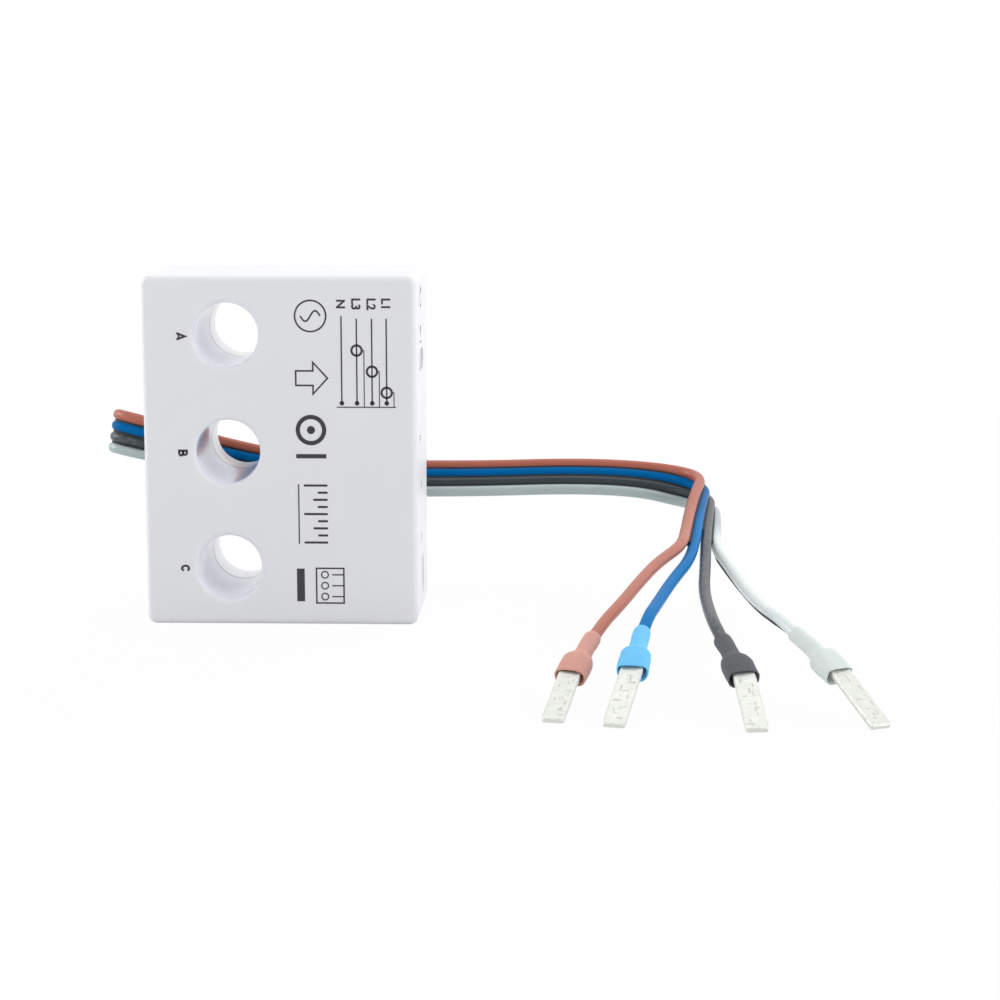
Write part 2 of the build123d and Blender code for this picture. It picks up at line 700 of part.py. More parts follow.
def arc_radii(points):
    """Each corner's radius, so that the arc takes BEND_SHARE of its shorter run."""
    radii = []
    for before, at, after in zip(points, points[1:], points[2:]):
        turn = math.radians((at - before).get_angle(after - at))
        run = min((at - before).length, (after - at).length)
        radii.append(BEND_SHARE * run / math.tan(turn / 2))
    return radii


def wire(name):
    """One insulated wire, from the bush to its prong's barrel."""
    points = wire_points(name)
    path = FilletPolyline(*points, radius=arc_radii(points))
    start = Plane(origin=points[0], z_dir=points[1] - points[0])
    print("wire", name, "is", round(path.length, 1), "mm long")
    return sweep(start * Circle(WIRE_D / 2), path=path)


def end_plane(name):
    """A plane at a sleeve's mouth that looks the way the sleeve points."""
    mouth, axis, tip = ENDS[name]
    return Plane(origin=mouth, z_dir=axis)


def sleeve(name):
    """A shrink sleeve: narrow on the wire, flared and open round the prong's root."""
    back, flare = -SLEEVE_LONG, -SLEEVE_FLARE
    step = flare - SLEEVE_STEP
    wall = SLEEVE_WALL
    bore = WIRE_D / 2 + SLEEVE_GAP
    flared = SLEEVE_MOUTH_R - SLEEVE_TAPER
    outline = Polyline(
        (bore, back), (SLEEVE_R, back), (SLEEVE_R, step), (flared, flare),
        (SLEEVE_MOUTH_R, 0), (SLEEVE_MOUTH_R - wall, 0), (flared - wall, flare),
        (bore, step - SLEEVE_TAPER), close=True)
    profile = Plane.XZ * make_face(outline)
    return end_plane(name) * revolve(profile, Axis.Z, 360)


def prong(name):
    """A flat tinned prong with the barrel that is pressed on the wire."""
    mouth, axis, tip = ENDS[name]
    root = BARREL_LONG + BARREL_TUCK
    barrel = Pos(0, 0, BARREL_LONG / 2 - root) * Cylinder(BARREL_R, BARREL_LONG)
    barrel = end_plane(name) * barrel
    reach = Vector(*tip) - Vector(*mouth)
    across = Vector(0, 0, 1).cross(reach).normalized()
    base = Plane(origin=Vector(*mouth) - reach.normalized() * BARREL_TUCK,
                 x_dir=across, z_dir=reach)
    long = reach.length + BARREL_TUCK
    blade = Pos(0, 0, long / 2) * Box(BLADE_WIDE, BLADE_THICK, long)
    far = blade.faces().sort_by(Axis.Z)[-1]
    blade = fillet(far.edges().filter_by(Axis.Y), BLADE_ROUND)
    return barrel + base * blade


def all_pieces():
    """Every piece under its node name."""
    pieces = {
        "front_shell": front_shell(),
        "rear_cover": rear_cover(),
        "cable_bush": cable_bush(),
        "wire_tails": wire_tails(),
        "main_board": main_board(),
        "reset_button": reset_button(),
        "reset_switch": reset_switch(),
        "switch_plunger": switch_plunger(),
        "bulk_capacitor": bulk_capacitor(),
        "output_capacitor": output_capacitor(),
        "transformer_bobbin": transformer_bobbin(),
        "transformer_core": transformer_core(),
        "varistor": varistor(),
        "fuse_resistor": fuse_resistor(),
        "choke": choke(),
        "rectifier": near_chip(RECTIFIER, *on_board(RECTIFIER_AT)),
        "metering_chip": far_chip(METER_CHIP, *on_board(METER_CHIP_AT)),
        "supply_chip": far_chip(SUPPLY_CHIP, *on_board(SUPPLY_CHIP_AT)),
        "burden_resistors": burden_resistors(),
        "radio_module": radio_module(),
        "radio_shield": radio_shield(),
        "antenna": antenna(),
    }
    for name, z in BORE_Z.items():
        pieces["ct_coil_" + name] = ct_coil(z)
        pieces["ct_carrier_" + name] = ct_carrier(z)
    for place, z in zip(("upper", "lower"), LIGHT_Z):
        pieces["light_pipe_" + place] = light_pipe(z)
        pieces["status_led_" + place] = status_led(z)
    for name in WIRES:
        pieces["wire_" + name] = wire(name)
        pieces["sleeve_" + name] = sleeve(name)
        pieces["prong_" + name] = prong(name)
    return pieces


os.makedirs("parts", exist_ok=True)
for node, shape in all_pieces().items():
    export_step(shape, "parts/" + node + ".step")
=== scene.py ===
import math
import random

import bmesh
import bpy
from mathutils import Matrix, Vector, noise


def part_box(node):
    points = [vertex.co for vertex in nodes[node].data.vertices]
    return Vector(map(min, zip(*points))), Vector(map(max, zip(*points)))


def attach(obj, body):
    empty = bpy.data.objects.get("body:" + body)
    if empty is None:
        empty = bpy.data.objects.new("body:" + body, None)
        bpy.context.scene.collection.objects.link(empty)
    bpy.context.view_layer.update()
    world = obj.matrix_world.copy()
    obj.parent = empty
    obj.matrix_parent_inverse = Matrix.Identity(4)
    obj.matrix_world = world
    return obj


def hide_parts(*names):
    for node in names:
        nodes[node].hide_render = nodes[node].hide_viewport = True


# Three-phase energy meter: a white housing with three bores, and a ribbon cable of four
# bonded wires that splits into four leads with shrunk sleeves and flat tinned prongs.
# Metres, +Z up. The lettered face looks along -Y. The origin is under the housing's middle.

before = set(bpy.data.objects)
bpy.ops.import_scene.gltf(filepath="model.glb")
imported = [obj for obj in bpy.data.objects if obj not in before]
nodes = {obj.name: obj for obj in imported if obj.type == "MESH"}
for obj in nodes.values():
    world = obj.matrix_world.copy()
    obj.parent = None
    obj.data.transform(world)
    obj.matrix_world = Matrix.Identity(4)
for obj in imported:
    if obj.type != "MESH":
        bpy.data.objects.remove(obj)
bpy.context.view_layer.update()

MM = 0.001
METER = "meter"

# Camera, fitted to the rims of the bores and the housing's edges in the photograph
CAMERA_AT = Vector((46.82, -387.62, 80.15)) * MM
AZIMUTH = 2.045
ELEVATION = 9.156
ROLL = -0.089
LENS = 90.43
SENSOR = 36.0
CLIP_START = 0.01

# Softboxes: where each one stands, its width and its watts. All look at one point.
# One that stands further back than NO_GLOSS_FROM lights the meter but shows in no gloss.
SOFTBOXES = {
    "top_softbox": ((0.05, 0.15, 0.9), 0.7, 1.1),
    "back_softbox": ((0.35, 0.9, 0.5), 0.7, 4.6),
    "right_softbox": ((0.9, -0.1, 0.45), 0.6, 4.2),
    "front_softbox": ((-0.35, -0.9, 0.5), 0.6, 1.7),
    "left_softbox": ((-0.8, 0.1, 0.35), 0.5, 2.8),
}
LAMP_AIM = (0.03, 0, 0.02)
NO_GLOSS_FROM = 0.5

# World: its strength as light, and how much of its white a gloss sees in front of the meter
WORLD_LIGHT = 0.58
WORLD_TINT = (0.96, 0.98, 1, 1)
ROOM_LIGHT = 0.25
WHITE = (1, 1, 1, 1)

# Floor: half its width, its tone in light and shadow, its glow near the meter, and how
# far from there the glow is full
FLOOR_HALF = 3.0
FLOOR_TONE = (0.78, 0.78, 0.79, 1)
FLOOR_GLOW = 0.95
FLOOR_FADE = 0.3

# Housing, read from the frame, with the bores and their joint as in part.py
SHELL_LOW, SHELL_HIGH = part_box("front_shell")
Y_NEAR = SHELL_LOW.y
X_RIGHT = SHELL_HIGH.x
HEIGHT = SHELL_HIGH.z
BORE_X = -8.0 * MM
BORE_PITCH = HEIGHT / 3
BORE_Z = [HEIGHT / 2 + BORE_PITCH, HEIGHT / 2, HEIGHT / 2 - BORE_PITCH]
BORE_R = 4.85 * MM
Y_JOINT = 4.675 * MM
JOINT_LINE = 0.6 * MM

# Ribbon cable: the route's points and the way across the ribbon, as in part.py (mm)
WIRES = ("brown", "blue", "black", "grey")
MIDDLE_WIRE = (len(WIRES) - 1) / 2
WIRE_D = 1.7 * MM
WIRE_PITCH = 1.78
RIBBON = (
    ((-20.8, 7.9, 25.9), (0, 0, 1)),
    ((-23.0, 7.9, 25.9), (0.05, 0, 1)),
    ((-26.5, 7.9, 26.7), (0.20, 0.05, 0.98)),
    ((-29.2, 9.7, 27.1), (0.15, 0.15, 0.98)),
    ((-29.3, 13.2, 26.6), (0.10, 0.25, 0.96)),
    ((-26.9, 15.3, 25.6), (0.15, 0.28, 0.95)),
    ((-21.5, 15.6, 24.2), (0.17, 0.33, 0.93)),
    ((-11.0, 15.4, 21.45), (0.15, 0.50, 0.85)),
    ((1.0, 15.5, 19.3), (0.08, 0.62, 0.78)),
    ((15.0, 15.9, 18.55), (0.03, 0.70, 0.71)),
    ((30.0, 16.8, 18.5), (0, 0.735, 0.68)),
    ((44.0, 17.9, 18.8), (0, 0.735, 0.68)),
    ((55.0, 18.5, 18.3), (0.04, 0.72, 0.69)),
    ((62.0, 18.6, 17.0), (0.12, 0.50, 0.85)),
    ((66.2, 15.3, 16.35), (-0.38, -0.02, 0.92)),
    ((65.4, 7.5, 15.6), (-0.62, 0.05, 0.78)),
    ((64.5, -2.5, 14.4), (-0.77, 0.02, 0.64)),
    ((63.9, -10.5, 13.2), (-0.87, 0.02, 0.50)),
)
LEADS = {
    "brown": ((60.7, -18.5, 13.8), (57.0, -26.0, 12.7), (54.2, -34.5, 11.5), (51.5, -43.0, 10.0)),
    "blue": ((61.9, -20.5, 12.1), (58.9, -31.5, 11.0), (56.6, -42.5, 10.1)),
    "black": ((64.1, -21.5, 11.1), (63.4, -33.0, 10.0), (63.6, -44.0, 9.3)),
    "grey": ((67.9, -20.5, 10.7), (69.4, -32.0, 9.8), (71.0, -44.0, 9.7)),
}
# Each lead's end: the sleeve's mouth, the way it points, and the prong's tip (mm)
ENDS = {
    "brown": ((44.4, -62.0, 4.0), (-0.307, -0.892, -0.330), (42.3, -72.2, 0.4)),
    "blue": ((52.6, -64.9, 5.4), (-0.155, -0.930, -0.333), (50.1, -74.5, 0.4)),
    "black": ((67.2, -66.5, 5.0), (0.237, -0.924, -0.299), (68.4, -76.4, 0.4)),
    "grey": ((79.8, -65.3, 5.3), (0.533, -0.750, -0.385), (84.3, -74.1, 0.4)),
}
# How far before the mouth a wire is straight, and where it ends (mm)
LEAD_IN = 12.6
BARREL_ROOT = 4.0

# A wire's smooth line: steps from point to point, and those round a quarter of it
LINE_STEPS = 16
ROUND_STEPS = 8

# Web between bonded wires: its thickness, the share of a wire that it reaches in from the
# wire's middle, the Y where each one is split (mm), and the points over which it runs out
# Its near-black finish is painted shade, and it is thick enough that this shows as a dark line in
# each crease.
WEB_THICK = 0.84 * MM
WEB_ROOT = 0.25
SPLIT_Y = (-6.5, -6.5, -9.5)
WEB_RUN_OUT = 3
FRONT_X = 50 * MM

# Strip of torn web on the grey lead: from where to where in Y (mm), how it leans down,
# its width and half its thickness, its waves, its tapered ends, and where it is rooted
TORN_FROM = -12.0
TORN_TO = -57.0
TORN_LEAN = 0.45
TORN_WIDE = 0.22 * MM
TORN_HALF = 0.14 * MM
TORN_WAVE = 0.3
TORN_WAVES = 9
TORN_TAPER = 12
TORN_ROOT = 0.47

# Sleeves: place along the sleeve from the mouth, half-width across, height over the
# middle and depth below it (mm). The last rings are the inner side of the open mouth.
SLEEVE_RINGS = (
    (-10.0, 1.02, 1.00, 1.00), (-9.93, 1.14, 1.11, 1.11), (-9.6, 1.20, 1.17, 1.17),
    (-8.4, 1.20, 1.17, 1.17), (-7.2, 1.17, 1.15, 1.15), (-6.0, 1.19, 1.16, 1.18),
    (-5.2, 1.22, 1.18, 1.22), (-4.75, 1.30, 1.22, 1.30), (-4.45, 1.52, 1.32, 1.44),
    (-4.2, 1.80, 1.42, 1.60), (-3.95, 1.97, 1.48, 1.70), (-3.5, 2.05, 1.50, 1.78),
    (-2.7, 2.09, 1.42, 1.80), (-1.7, 2.11, 1.26, 1.78), (-0.9, 2.12, 1.12, 1.74),
    (-0.3, 2.12, 1.03, 1.70), (-0.06, 2.10, 0.99, 1.67), (0.0, 2.04, 0.92, 1.61),
    (-0.05, 1.92, 0.82, 1.51), (-0.5, 1.86, 0.80, 1.45), (-1.6, 1.84, 0.88, 1.44),
    (-2.8, 1.76, 1.04, 1.42), (-3.8, 1.40, 1.08, 1.28),
)
SLEEVE_STEPS = 56
# Its flare turns squarish from this place on, over this length and to this share (mm)
SQUARE_FROM = -4.8
SQUARE_OVER = 1.6
SQUARE_SHARE = 0.3
# Its lumps are lower on the flare, its creases run round it, and its mouth's edge waves
LUMP_SCALE = 0.55
LUMP_HIGH = 0.09
LUMP_FALL = 0.05
CREASE_SCALE = 2.4
CREASE_HIGH = 0.03
EDGE_FROM = -0.6
EDGE_HIGH = 0.10

# Prongs (mm): the blade's section, how far it is tucked in the sleeve and lifted there
BLADE_WIDE = 3.0
BLADE_THICK = 0.72
BLADE_ROUND = 0.16
BLADE_TUCK = 1.3
BLADE_LIFT = 0.18
BLADE_STEP = 0.1
# The tip is narrower and thinner over these lengths, and the root is narrower
TIP_LONG = 0.5
TIP_NARROW = 0.12
TIP_BEVEL = 0.14
TIP_THIN = 0.28
ROOT_NARROW = 0.14
# How far the blade sways across, and how high the tin's waves are
SWAY = 0.05
SWAY_SCALE = 0.35
TIN_WAVE = 0.03
TIN_SCALE = (0.9, 0.7)
# Stamped grooves: how many, the stretch they share, their reach across, half-lengths,
# half-widths, the share that runs along the blade, their depth and their sloping edge
STAMPS = 11
STAMP_START = 0.08
STAMP_STRETCH = 0.86
STAMP_REACH = 1.0
STAMP_HALF = (0.12, 0.5)
STAMP_THIN = (0.05, 0.08)
STAMP_ALONG = 0.6
STAMP_DEEP = 0.045
STAMP_EDGE = 0.09
# Faces deeper in a groove than this share take a darker tin, as painted shade in the grooves.
GROOVE_SHADE_FROM = 0.55

# Print on the housing (mm, but for the ink's thickness): the pens' widths
INK_THICK = 0.015 * MM
BOLD = 0.66
PEN = 0.26
THIN_PEN = 0.2
# The letters beside the bores, read downwards: place, height, and shares of that height
LETTER_X = -14.8
LETTER_Z = -0.2
LETTER_TALL = 1.3
LETTER_WIDE = 0.74
LETTER_PEN = 0.27
# The column of marks on the near face: its X, and each mark's Z
COLUMN_X = 4.85
WAVE_Z = 47.4
ARROW_Z = 38.0
ARROW = ((-2.3, 1.1), (0.3, 1.1), (0.3, 2.4), (2.5, 0.0), (0.3, -2.4), (0.3, -1.1), (-2.3, -1.1))
TARGET_X = COLUMN_X - 0.1
TARGET_Z = 30.1
TARGET_BAR_Z = 26.1
SCALE_TOP = 21.6
SCALE_TICKS = 9
TICK_STEP = 1.1
TICK_LONG = (3.6, 1.5, 2.2, 1.5)
TICK_PEN = 0.34
TERMINAL_LOW = (5.3, 3.4)
TERMINAL_HIGH = (9.5, 8.8)
TERMINAL_STEP = 1.7
# The wiring diagram: each line's X and label, the foot of the lines, the phases' rings,
# their height over it, and the step from one ring down to the next
DIAGRAM = ((9.5, "N"), (11.8, "L3"), (14.1, "L2"), (16.3, "L1"))
DIAGRAM_FOOT = 34.2
DIAGRAM_PEN = 0.22
LABEL_Z = 49.2
LABEL_TALL = 1.35
LABEL_WEIGHT = 0.06
CAP_SHARE = 0.729
RING_R = 0.78
RING_TOP = 45.4
RING_STEP = 3.2
# The marks on the right side: their Y over the button, and those of the waves
SIDE_Y = -1.6
SIDE_WAVES = (-3.9, 26.6)


class Value:
    """A shader value. Python's operators on it add Math nodes."""

    def __init__(self, finish, socket):
        self.finish = finish
        self.socket = socket

    def maths(self, operation, first, second):
        return self.finish.add("ShaderNodeMath", {"operation": operation}, {0: first, 1: second})

    def __add__(self, other):
        return self.maths("ADD", self, other)

    def __sub__(self, other):
        return self.maths("SUBTRACT", self, other)

    def __rsub__(self, other):
        return self.maths("SUBTRACT", other, self)

    def __mul__(self, other):
        return self.maths("MULTIPLY", self, other)

    def __truediv__(self, other):
        return self.maths("DIVIDE", self, other)

    def __pow__(self, other):
        return self.maths("POWER", self, other)

    def either(self, other):
        """The larger of the two."""
        return self.maths("MAXIMUM", self, other)

    def size(self):
        """The value without its sign."""
        return self.maths("ABSOLUTE", self, 0.0)

    __radd__ = __add__
    __rmul__ = __mul__


class Finish:
    """One material, and the one method that adds its nodes."""

    def __init__(self, name, tree=None):
        if tree is None:
            self.material = bpy.data.materials.new(name)
            self.material.use_nodes = True
            tree = self.material.node_tree
        self.tree = tree
        self.tree.nodes.clear()
        self.place = None

    def add(self, kind, settings=None, inputs=None, out=0):
        """A node with its settings, and its inputs as values or links."""
        node = self.tree.nodes.new(kind)
        for key, value in (settings or {}).items():
            if key == "stops":
                self.set_stops(node.color_ramp, value)
            else:
                setattr(node, key, value)
        for key, value in (inputs or {}).items():
            if isinstance(value, Value):
                self.tree.links.new(value.socket, node.inputs[key])
            else:
                node.inputs[key].default_value = value
        return Value(self, node.outputs[out] if node.outputs else None)

    @staticmethod
    def set_stops(ramp, stops):
        while len(ramp.elements) < len(stops):
            ramp.elements.new(0.5)
        for element, (at, grey) in zip(ramp.elements, stops):
            element.position = at
            element.color = (grey, grey, grey, 1)

    def where(self):
        """The point on the surface, in metres in the shared frame."""
        if self.place is None:
            self.place = self.add("ShaderNodeTexCoord", out=3)
        return self.place

    def parts(self):
        """X, Y and Z of that point."""
        split = self.add("ShaderNodeSeparateXYZ", inputs={0: self.where()})
        sockets = split.socket.node.outputs
        return [Value(self, sockets[i]) for i in range(3)]

    def grain(self, size, detail=3.0, rough=0.5, squeeze=(1, 1, 1)):
        """Noise from 0 to 1 whose spots are about that size in metres."""
        stretched = self.add("ShaderNodeVectorMath", {"operation": "MULTIPLY"},
                             {0: self.where(), 1: squeeze})
        return self.add("ShaderNodeTexNoise", {"noise_dimensions": "3D"},
                        {"Vector": stretched, "Scale": 1 / size, "Detail": detail,
                         "Roughness": rough})

    def ramp(self, value, *stops):
        """Value through a ramp of (place, grey) stops."""
        return self.add("ShaderNodeValToRGB", {"stops": stops}, {0: value})

    def blend(self, share, one, other):
        """One colour where share is 0, the other where it is 1."""
        return self.add("ShaderNodeMix", {"data_type": "RGBA"},
                        {0: share, 6: colour(one), 7: colour(other)}, out=2)

    def bump(self, height, depth, strength=1.0):
        """A normal from a height of 0 to 1 over a depth in metres."""
        return self.add("ShaderNodeBump", None,
                        {"Height": height, "Distance": depth, "Strength": strength})

    def surface(self, **inputs):
        """The Principled shader, its sockets named with _ for each space."""
        sockets = {key.replace("_", " "): value for key, value in inputs.items()}
        sockets["Base Color"] = colour(sockets["Base Color"])
        shader = self.add("ShaderNodeBsdfPrincipled", None, sockets)
        self.add("ShaderNodeOutputMaterial", None, {"Surface": shader})
        return self.material


def colour(value):
    """A colour as a socket takes it."""
    return value if isinstance(value, Value) else (*value, 1.0)


def srgb(red, green, blue):
    """A linear colour from 0 to 255 screen values."""
    return tuple(((c / 255 + 0.055) / 1.055) ** 2.4 if c > 10 else c / 3295
                 for c in (red, green, blue))


def housing_white():
    """Satin white moulding, polished in the bores, with a thin line at the bores' joint, and
    painted light on the bore walls.
    """
    f = Finish("housing_white")
    x, y, z = f.parts()
    inside = None
    for bore_z in BORE_Z:
        away = ((x - BORE_X) ** 2 + (z - bore_z) ** 2) ** 0.5
        bore = f.ramp(away / (2 * BORE_R), (0.502, 1.0), (0.545, 0.0))
        inside = bore if inside is None else inside.either(bore)
    clouds = f.grain(14 * MM, 2)
    fine = f.grain(0.22 * MM, 2)
    white = f.blend(clouds, srgb(229, 229, 232), srgb(233, 233, 235))
    line = f.ramp((y - Y_JOINT).size() / JOINT_LINE, (0.3, 1.0), (0.7, 0.0))
    # Painted light: the bore walls are whiter and cooler than the housing, and whiter still past
    # the joint, towards the far openings that light comes through.
    lit_beyond_joint = f.ramp((y - Y_JOINT) / MM + 0.5, (0.4, 0.0), (0.6, 1.0))
    bore_painted_lit = f.blend(lit_beyond_joint, srgb(242, 244, 253), srgb(253, 253, 254))
    bore_painted_lit = f.blend(line * 0.6, bore_painted_lit, srgb(120, 122, 130))
    white = f.blend(inside, white, bore_painted_lit)
    satin = 0.40 + clouds * 0.05 + fine * 0.04
    rough = satin * (1 - inside) + inside * (0.11 + clouds * 0.05)
    texture = f.bump(fine * (1 - inside), 0.006 * MM, 0.5)
    return f.surface(Base_Color=white, Roughness=rough, Normal=texture, IOR=1.49)


def moulded(name, light, dark, rough=0.45, spots=0.3, depth=0.01, metal=0.0, cloud=4.0, **fixed):
    """A moulded, dipped or rolled finish: two close colours in clouds, and a fine grain."""
    f = Finish(name)
    clouds = f.grain(cloud * MM)
    fine = f.grain(spots * MM, 2)
    return f.surface(Base_Color=f.blend(clouds, light, dark), Metallic=metal,
                     Roughness=rough + fine * 0.1 + clouds * 0.05,
                     Normal=f.bump(fine, depth * MM, 0.6), **fixed)


def board_green():
    """Solder mask that stands a little higher over rows of tracks."""
    f = Finish("board_green")
    x, _, z = f.parts()
    tracks = f.add("ShaderNodeTexBrick", {"offset": 0.37},
                   {"Vector": f.add("ShaderNodeCombineXYZ", None, {0: x, 1: z, 2: 0.0}),
                    "Scale": 1 / (3.2 * MM), "Mortar Size": 0.06,
                    "Mortar Smooth": 0.3}, out=1)
    mask = f.blend(tracks, (0.008, 0.11, 0.045), (0.02, 0.19, 0.08))
    return f.surface(Base_Color=mask, Roughness=0.32 + f.grain(0.5 * MM) * 0.12,
                     Normal=f.bump(tracks, 0.03 * MM, 0.7))


def copper_turns():
    """Enamelled wire, turn beside turn, as a wound ring shows it."""
    f = Finish("copper_turns")
    turns = f.add("ShaderNodeTexWave", {"bands_direction": "DIAGONAL"},
                  {"Vector": f.where(), "Scale": 1 / (1.6 * MM), "Distortion": 0.6,
                   "Detail": 1.0})
    enamel = f.blend(turns, (0.20, 0.045, 0.012), (0.62, 0.20, 0.06))
    return f.surface(Base_Color=enamel, Metallic=0.85, Roughness=0.28 + turns * 0.15,
                     Normal=f.bump(turns, 0.06 * MM))


def insulation(name, tone, shade, lead, rough, sheen, scuff_and_glint=0.05):
    """Soft plastic insulation of one wire, with painted light on the parted leads and pale marks
    where bent that are partly wear and partly painted highlight.
    """
    f = Finish(name)
    clouds = f.grain(6 * MM, 2)
    dust = f.grain(0.35 * MM, 3)
    x, y, _ = f.parts()
    parted = f.ramp(y / (20 * MM) + 0.5, (0.2, 1.0), (0.6, 0.0))
    bent = parted.either(f.ramp(x / MM * -0.1 - 2.0, (0.4, 0.0), (0.7, 1.0)))
    wear_and_glint = bent * f.ramp(f.grain(0.9 * MM, 4, 0.65, (1, 1, 3)), (0.44, 0.0), (0.66, 1.0))
    body = f.blend(clouds * 0.7 + dust * 0.3, tone, shade)
    # Painted light: the parted leads take the lead tone, a lit copy of the wire's colour, while
    # the ribbon's tones are its shaded copy.
    body = f.blend(parted * (0.8 + clouds * 0.2), body, lead)
    # The pale streaks are partly wear and partly painted highlight: on the black wire they stand
    # in for glinting streaks.
    body = f.blend(wear_and_glint * dust * scuff_and_glint, body, srgb(205, 208, 206))
    return f.surface(Base_Color=body, Roughness=rough + wear_and_glint * 0.07 + dust * 0.06,
                     Normal=f.bump(clouds * 0.6 + dust * 0.4, 0.012 * MM, 0.5),
                     Specular_IOR_Level=sheen)


def shrunk_sleeve(name, tone, shade):
    """Matte shrink tube: fine wrinkles, and paler clouds at random."""
    f = Finish(name)
    clouds = f.grain(1.6 * MM, 3)
    fine = f.grain(0.16 * MM, 3)
    wrinkles = f.grain(0.5 * MM, 4, 0.6, (1, 2.6, 2.6))
    return f.surface(Base_Color=f.blend(clouds, tone, shade),
                     Roughness=0.55 + fine * 0.15,
                     Normal=f.bump(wrinkles * 0.6 + fine * 0.4, 0.05 * MM, 0.7))


def tinned_metal(name, light, dark, pit, rough):
    """Tin over copper, uneven where it has run, with small pits and dull clouds."""
    f = Finish(name)
    runs = f.ramp(f.grain(0.8 * MM, 3, 0.55), (0.40, 0.0), (0.62, 1.0))
    pits = f.ramp(f.grain(0.3 * MM, 4, 0.65), (0.60, 0.0), (0.70, 1.0))
    clouds = f.grain(1.8 * MM, 3)
    tin = f.blend(pits * 0.55, f.blend(clouds, light, dark), pit)
    return f.surface(Base_Color=tin, Metallic=0.75,
                     Roughness=rough + pits * 0.2 + clouds * 0.08,
                     Normal=f.bump(runs * 0.7 + pits * 0.3, 0.05 * MM, 0.8))


# Each finish: the function that makes it, and what that takes after the name
RECIPES = {
    "button_white": (moulded, srgb(212, 214, 211), srgb(192, 195, 190), 0.38),
    "light_yellow": (moulded, (0.85, 0.80, 0.40), (0.75, 0.68, 0.30), 0.3),
    "print_ink": (moulded, srgb(46, 42, 44), srgb(58, 53, 56), 0.5, 0.12, 0.004),
    "black_nylon": (moulded, (0.020, 0.020, 0.022), (0.034, 0.034, 0.036), 0.5),
    "dark_epoxy": (moulded, (0.012, 0.012, 0.014), (0.024, 0.023, 0.026), 0.4, 0.15),
    "ferrite_grey": (moulded, (0.045, 0.044, 0.047), (0.07, 0.068, 0.07), 0.6, 0.2),
    "can_black": (moulded, (0.016, 0.018, 0.022), (0.03, 0.032, 0.038), 0.25, 0.8),
    "varistor_blue": (moulded, (0.02, 0.10, 0.34), (0.03, 0.14, 0.42), 0.42, 0.6),
    "resistor_blue": (moulded, (0.16, 0.42, 0.52), (0.22, 0.50, 0.60), 0.4, 0.5),
    "bush_grey": (moulded, (0.10, 0.10, 0.11), (0.14, 0.14, 0.15), 0.6, 0.4, 0.03),
    "shield_metal": (moulded, (0.62, 0.62, 0.60), (0.52, 0.52, 0.50), 0.25, 0.5, 0.01, 1.0),
    "gilt_metal": (moulded, (0.78, 0.55, 0.20), (0.66, 0.45, 0.16), 0.22, 0.5, 0.01, 1.0),
    # Near-black painted shade for the creases between bonded wires.
    "web_dark": (moulded, srgb(20, 23, 27), srgb(28, 31, 35), 0.6, 0.3),
    # Each wire: the ribbon's two tones and the lead's tone, shaded and lit copies of one colour as
    # painted light, then roughness, sheen and the pale marks' share.
    "wire_brown": (insulation, srgb(166, 81, 57), srgb(174, 91, 67), srgb(182, 104, 84),
                   0.34, 0.65),
    "wire_blue": (insulation, srgb(0, 92, 154), srgb(0, 103, 165), srgb(0, 116, 184),
                  0.26, 0.03, 0.012),
    "wire_black": (insulation, srgb(31, 42, 47), srgb(41, 52, 56), srgb(38, 46, 49),
                   0.30, 0.5, 0.3),
    "wire_grey": (insulation, srgb(152, 167, 166), srgb(166, 180, 178), srgb(220, 228, 225),
                  0.3, 1.0),
    "sleeve_brown": (shrunk_sleeve, srgb(206, 147, 133), srgb(214, 157, 143)),
    "sleeve_blue": (shrunk_sleeve, srgb(96, 188, 240), srgb(116, 200, 245)),
    "sleeve_black": (shrunk_sleeve, srgb(74, 77, 80), srgb(84, 88, 91)),
    "sleeve_grey": (shrunk_sleeve, srgb(208, 216, 212), srgb(219, 225, 221)),
    "tinned_metal": (tinned_metal, srgb(226, 228, 222), srgb(213, 216, 209),
                     srgb(158, 155, 147), 0.42),
    # The same tin, darker, as painted shade in the stamped grooves.
    "stamped_metal": (tinned_metal, srgb(206, 203, 195), srgb(190, 186, 177),
                      srgb(132, 129, 122), 0.5),
}
FINISHES = {name: make(name, *values) for name, (make, *values) in RECIPES.items()}
FINISHES["housing_white"] = housing_white()
FINISHES["board_green"] = board_green()
FINISHES["copper_turns"] = copper_turns()
FINISHES["light_clear"] = moulded("light_clear", (0.80, 0.83, 0.85), (0.70, 0.74, 0.77), 0.12,
                                  Transmission_Weight=0.7, IOR=1.49)

# The CAD nodes that are carried over, by finish
DRESSED = {
    "housing_white": ("front_shell", "rear_cover"),
    "button_white": ("reset_button", "switch_plunger"),
    "bush_grey": ("cable_bush",),
    "black_nylon": ("wire_tails", "reset_switch", "ct_carrier_a", "ct_carrier_b",
                    "ct_carrier_c"),
    "board_green": ("main_board", "radio_module"),
    "can_black": ("bulk_capacitor", "output_capacitor"),
    "light_yellow": ("transformer_bobbin", "status_led_upper", "status_led_lower"),
    "ferrite_grey": ("transformer_core", "choke"),
    "varistor_blue": ("varistor",),
    "resistor_blue": ("fuse_resistor",),
    "dark_epoxy": ("rectifier", "metering_chip", "supply_chip", "burden_resistors"),
    "shield_metal": ("radio_shield",),
    "gilt_metal": ("antenna",),
    "light_clear": ("light_pipe_upper", "light_pipe_lower"),
    "copper_turns": ("ct_coil_a", "ct_coil_b", "ct_coil_c"),
}


def dress_nodes():
    """Gives each carried-over CAD node its finish."""
    for finish, names in DRESSED.items():
        for name in names:
            for place in nodes[name].material_slots:
                place.material = FINISHES[finish]


def placed(name, data):
    """An object of that data in the scene."""
    obj = bpy.data.objects.new(name, data)
    bpy.context.scene.collection.objects.link(obj)
    return obj


